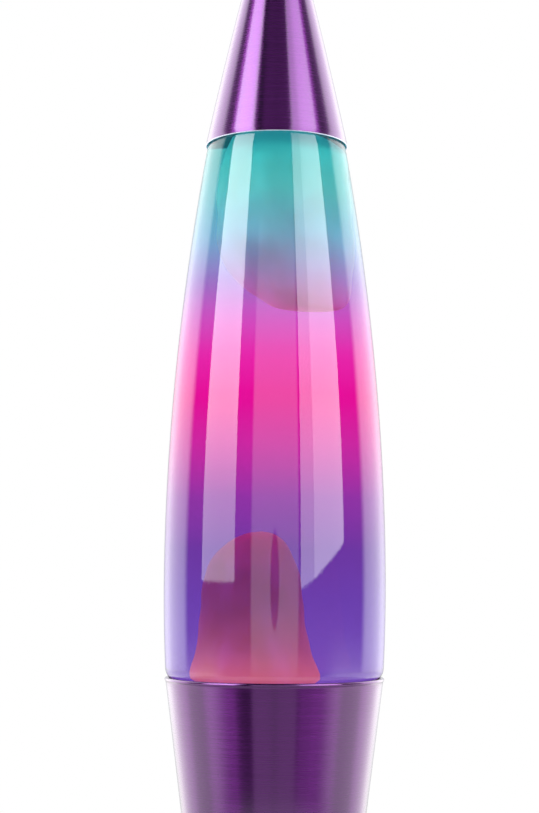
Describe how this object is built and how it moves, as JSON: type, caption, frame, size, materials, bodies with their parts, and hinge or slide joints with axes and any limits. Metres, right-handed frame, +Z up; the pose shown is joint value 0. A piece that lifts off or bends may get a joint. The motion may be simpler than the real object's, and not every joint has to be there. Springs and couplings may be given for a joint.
{
  "type": "lava lamp",
  "caption": "Lava lamp: a tapered glass globe of liquid and wax on an hourglass metal base with a bulb, under a conical metal cap.",
  "frame": {"origin": "on the desk, at the centre of the lamp's feet", "axes": "+Z up along the lamp's axis; +Y towards the rear, where the cord's hole is; the front faces -Y"},
  "size_m": [0.089, 0.089, 0.368],
  "materials": {
    "anodised_base": "satin",
    "anodised_cap": "satin",
    "seat_metal": "satin",
    "socket_plastic": "satin",
    "socket_brass": "satin",
    "contact_brass": "satin",
    "terminal_brass": "satin",
    "strap_steel": "satin",
    "pipe_steel": "satin",
    "strap_nut_steel": "satin",
    "bottom_nut_steel": "satin",
    "washer_steel": "satin",
    "cover_plastic": "matte",
    "foot_rubber": "matte",
    "grommet_rubber": "matte",
    "lead_dark": "satin",
    "lead_pale": "satin",
    "crimp_nylon": "satin",
    "solder": "satin",
    "bulb_brass": "satin",
    "insulator_black": "gloss",
    "bulb_glass": "gloss",
    "stem_glass": "gloss",
    "bulb_wire": "satin",
    "filament": "satin",
    "lacquered_glass": "gloss",
    "crown_steel": "gloss",
    "liner_plastic": "matte",
    "liquid": "gloss",
    "wax_low": "satin",
    "wax_high": "satin",
    "coil_steel": "satin"
  },
  "bodies": {
    "base": {"base_shell": "anodised_base", "globe_seat": "seat_metal", "socket_body": "socket_plastic", "socket_shell": "socket_brass", "socket_contact": "contact_brass", "terminal_screws": "terminal_brass", "socket_strap": "strap_steel", "lamp_pipe": "pipe_steel", "strap_nut": "strap_nut_steel", "bottom_cover": "cover_plastic", "bottom_washer": "washer_steel", "bottom_nut": "bottom_nut_steel", "foot_1": "foot_rubber", "foot_2": "foot_rubber", "foot_3": "foot_rubber", "foot_4": "foot_rubber", "cord_grommet": "grommet_rubber", "lead_live": "lead_dark", "lead_neutral": "lead_pale", "crimp_connectors": "crimp_nylon"},
    "bulb_tip": {"bulb_contact": "solder"},
    "bulb": {"bulb_screw_shell": "bulb_brass", "bulb_insulator": "insulator_black", "bulb_glass": "bulb_glass", "bulb_stem": "stem_glass", "bulb_lead_wires": "bulb_wire", "bulb_filament": "filament"},
    "globe": {"globe_bottle": "lacquered_glass", "crown_cap": "crown_steel", "crown_liner": "liner_plastic", "fluid": "liquid", "wax_mound": "wax_low", "heat_coil": "coil_steel"},
    "wax": {"wax_blob": "wax_high"},
    "cap": {"cap_shell": "anodised_cap"}
  },
  "joints": [
    {"name": "globe_lift", "type": "slide", "parent": "base", "child": "globe", "axis": [0, 0, 1], "range_m": [0, 0.06]},
    {"name": "cap_lift", "type": "slide", "parent": "globe", "child": "cap", "axis": [0, 0, 1], "range_m": [0, 0.06]},
    {"name": "wax_rise", "type": "slide", "parent": "globe", "child": "wax", "axis": [0, 0, 1], "range_m": [-0.06, 0], "deforming": ["fluid"]},
    {"name": "bulb_rise", "type": "slide", "parent": "base", "child": "bulb_tip", "axis": [0, 0, 1], "range_m": [0, 0.00847]},
    {"name": "bulb_turn", "type": "hinge", "parent": "bulb_tip", "child": "bulb", "pos_m": [0, 0, 0.05], "axis": [0, 0, 1], "range_deg": [0, 1080]}
  ],
  "couplings": [
    {"joint": "bulb_rise", "follows": "bulb_turn", "m_per_rad": 0.00044882}
  ]
}
